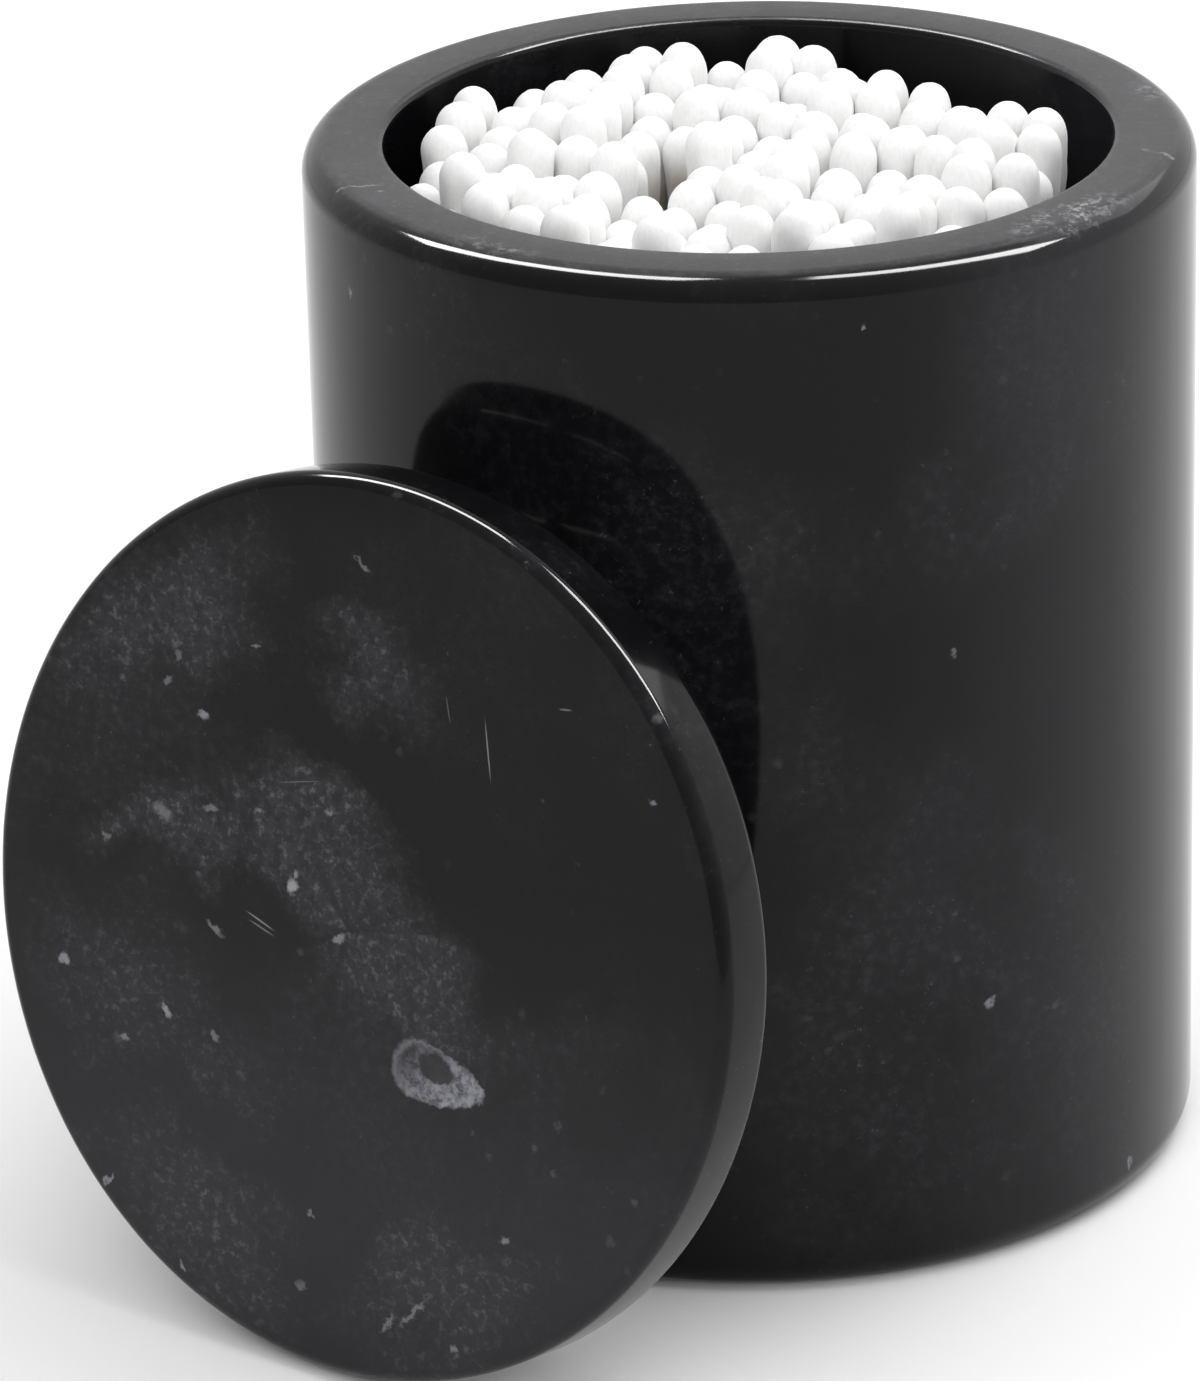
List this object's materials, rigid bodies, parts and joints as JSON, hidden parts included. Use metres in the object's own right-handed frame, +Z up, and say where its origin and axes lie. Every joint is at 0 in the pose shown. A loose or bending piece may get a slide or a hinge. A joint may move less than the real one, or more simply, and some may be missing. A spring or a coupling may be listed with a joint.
{
  "type": "cotton swab holder",
  "caption": "Round turned jar of dark stone with a thick wall, filled with cotton swabs, and its plugged lid leaning against the front of the jar.",
  "frame": {"origin": "centre of the jar's foot, on the surface that it stands on", "axes": "+Z up along the jar's axis, -Y towards the front, where the lid leans at the front left, +X to the right"},
  "size_m": [0.1078, 0.1127, 0.0974],
  "materials": {
    "black_marble": "polished",
    "black_marble_lid": "polished",
    "birch_stick": "matte",
    "cotton": "matte"
  },
  "bodies": {
    "root": {"jar": "black_marble", "lid": "black_marble_lid", "swab_sticks_row_01": "birch_stick", "swab_sticks_row_02": "birch_stick", "swab_sticks_row_03": "birch_stick", "swab_sticks_row_04": "birch_stick", "swab_sticks_row_05": "birch_stick", "swab_sticks_row_06": "birch_stick", "swab_sticks_row_07": "birch_stick", "swab_sticks_row_08": "birch_stick", "swab_sticks_row_09": "birch_stick", "swab_sticks_row_10": "birch_stick", "swab_sticks_row_11": "birch_stick", "swab_sticks_row_12": "birch_stick", "swab_sticks_row_13": "birch_stick", "swab_sticks_row_14": "birch_stick", "swab_sticks_row_15": "birch_stick", "upper_cotton_tips_row_01": "cotton", "upper_cotton_tips_row_02": "cotton", "upper_cotton_tips_row_03": "cotton", "upper_cotton_tips_row_04": "cotton", "upper_cotton_tips_row_05": "cotton", "upper_cotton_tips_row_06": "cotton", "upper_cotton_tips_row_07": "cotton", "upper_cotton_tips_row_08": "cotton", "upper_cotton_tips_row_09": "cotton", "upper_cotton_tips_row_10": "cotton", "upper_cotton_tips_row_11": "cotton", "upper_cotton_tips_row_12": "cotton", "upper_cotton_tips_row_13": "cotton", "upper_cotton_tips_row_14": "cotton", "upper_cotton_tips_row_15": "cotton", "lower_cotton_tips_row_01": "cotton", "lower_cotton_tips_row_02": "cotton", "lower_cotton_tips_row_03": "cotton", "lower_cotton_tips_row_04": "cotton", "lower_cotton_tips_row_05": "cotton", "lower_cotton_tips_row_06": "cotton", "lower_cotton_tips_row_07": "cotton", "lower_cotton_tips_row_08": "cotton", "lower_cotton_tips_row_09": "cotton", "lower_cotton_tips_row_10": "cotton", "lower_cotton_tips_row_11": "cotton", "lower_cotton_tips_row_12": "cotton", "lower_cotton_tips_row_13": "cotton", "lower_cotton_tips_row_14": "cotton", "lower_cotton_tips_row_15": "cotton"}
  },
  "joints": []
}
